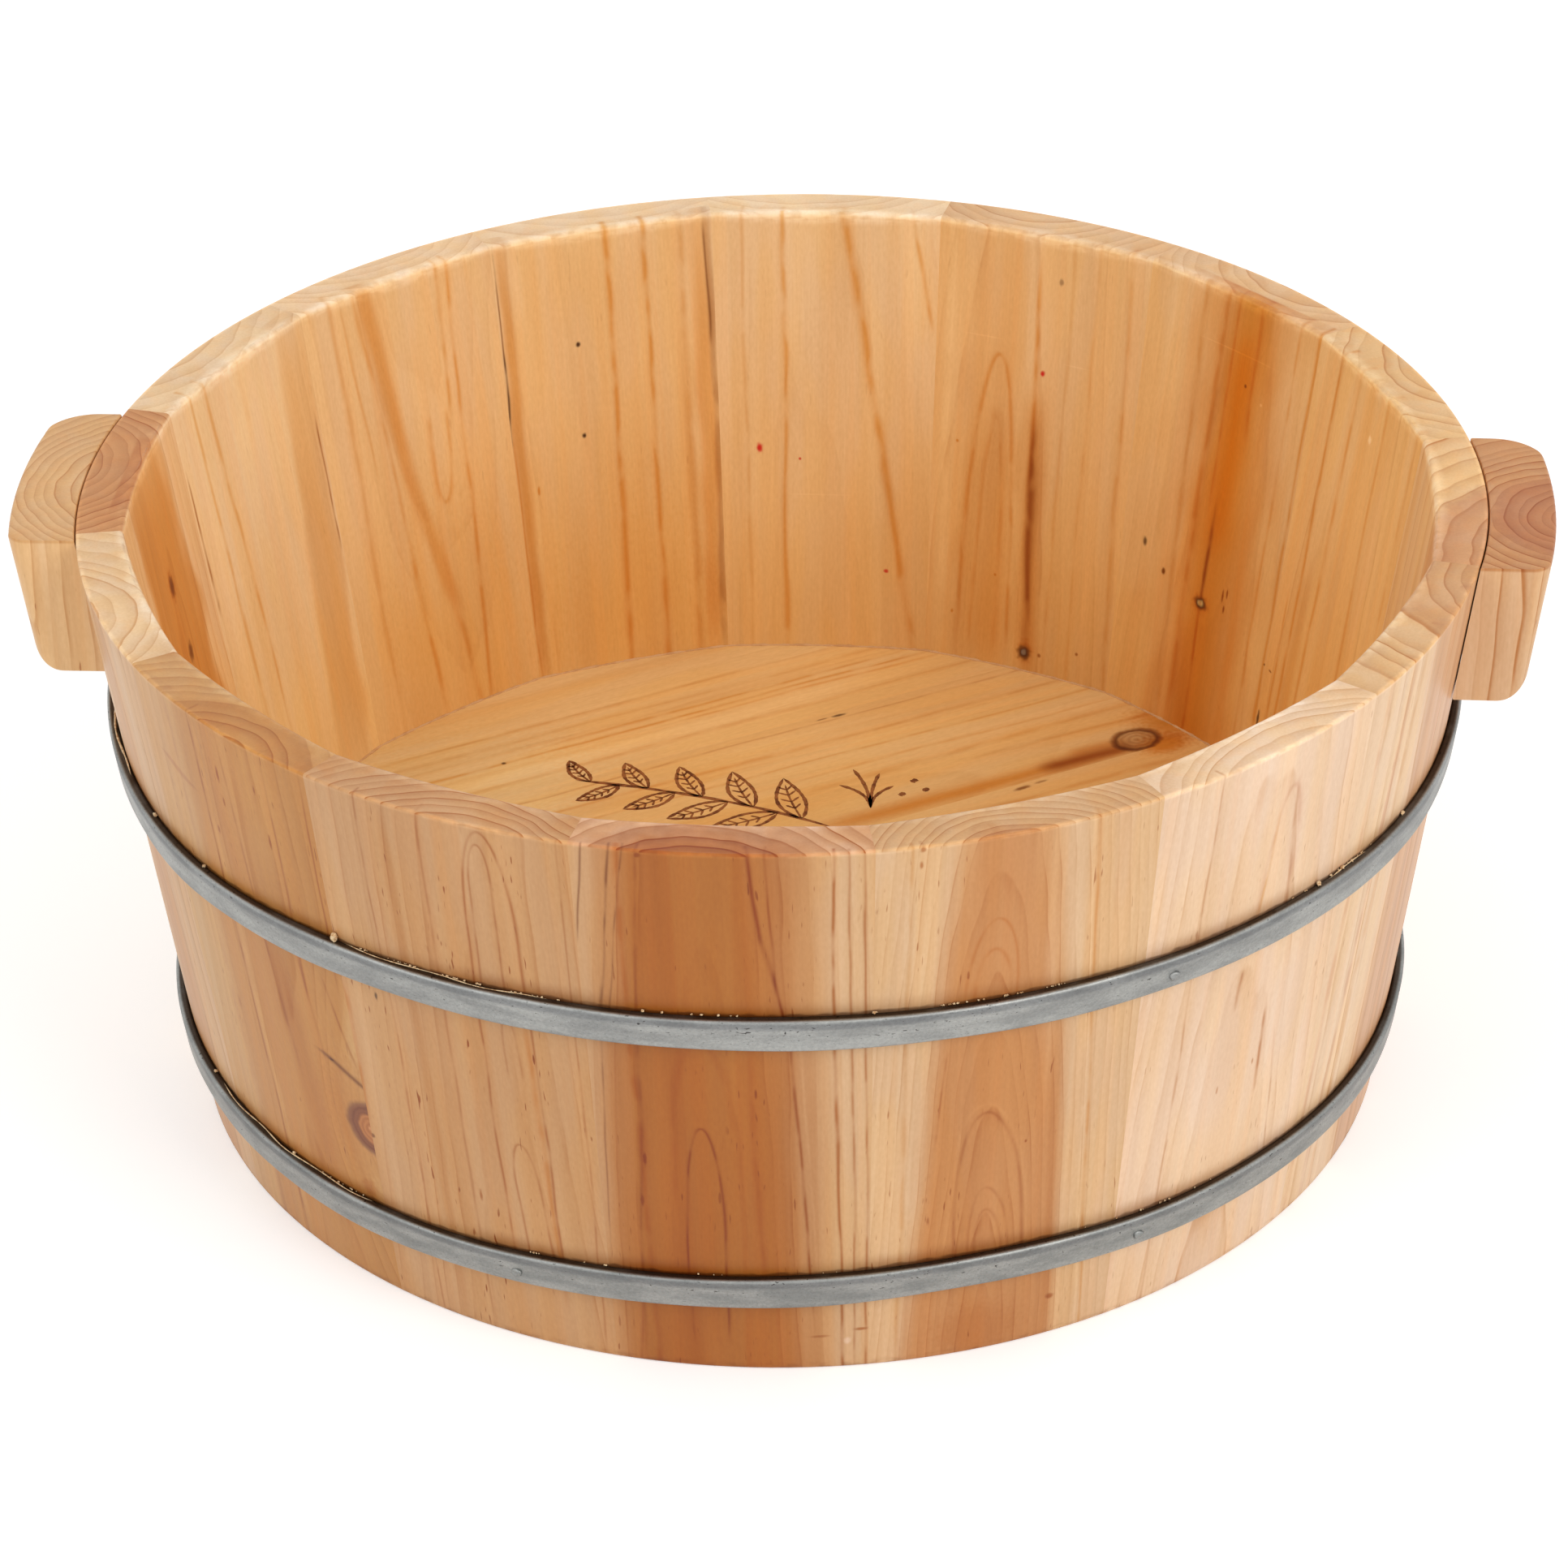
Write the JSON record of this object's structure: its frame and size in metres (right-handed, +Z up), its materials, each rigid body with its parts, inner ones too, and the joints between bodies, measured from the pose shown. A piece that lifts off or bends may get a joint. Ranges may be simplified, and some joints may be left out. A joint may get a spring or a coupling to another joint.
{
  "type": "wooden foot bath bucket",
  "caption": "Round staved softwood tub for soaking feet, slightly tapered, with two flat galvanised hoops, a board bottom and a block handle on each side.",
  "frame": {"origin": "centre of the tub's foot ring, on the surface that it stands on", "axes": "+Z up along the tub's axis, the handles on -X and +X, the pictured front on -Y"},
  "size_m": [0.4378, 0.3998, 0.18],
  "materials": {
    "stave_wood": "sanded softwood under a thin clear coat",
    "bottom_wood": "planed softwood, clear coated",
    "handle_wood": "sanded softwood under a thin clear coat",
    "pin_wood": "plain turned dowel",
    "hoop_steel": "dull galvanised, small pits and scuffs",
    "nail_steel": "dull galvanised"
  },
  "bodies": {
    "root": {"stave_01": "stave_wood", "stave_02": "stave_wood", "stave_03": "stave_wood", "stave_04": "stave_wood", "stave_05": "stave_wood", "stave_06": "stave_wood", "stave_07": "stave_wood", "stave_08": "stave_wood", "stave_09": "stave_wood", "stave_10": "stave_wood", "stave_11": "stave_wood", "stave_12": "stave_wood", "stave_13": "stave_wood", "stave_14": "stave_wood", "stave_15": "stave_wood", "stave_16": "stave_wood", "bottom_board_1": "bottom_wood", "bottom_board_2": "bottom_wood", "bottom_board_3": "bottom_wood", "bottom_board_4": "bottom_wood", "bottom_board_5": "bottom_wood", "bottom_board_dowels": "pin_wood", "upper_stave_pins": "pin_wood", "lower_stave_pins": "pin_wood", "right_handle": "handle_wood", "left_handle": "handle_wood", "right_handle_dowels": "pin_wood", "left_handle_dowels": "pin_wood", "upper_hoop": "hoop_steel", "lower_hoop": "hoop_steel", "upper_hoop_nails": "nail_steel", "lower_hoop_nails": "nail_steel"}
  },
  "joints": []
}
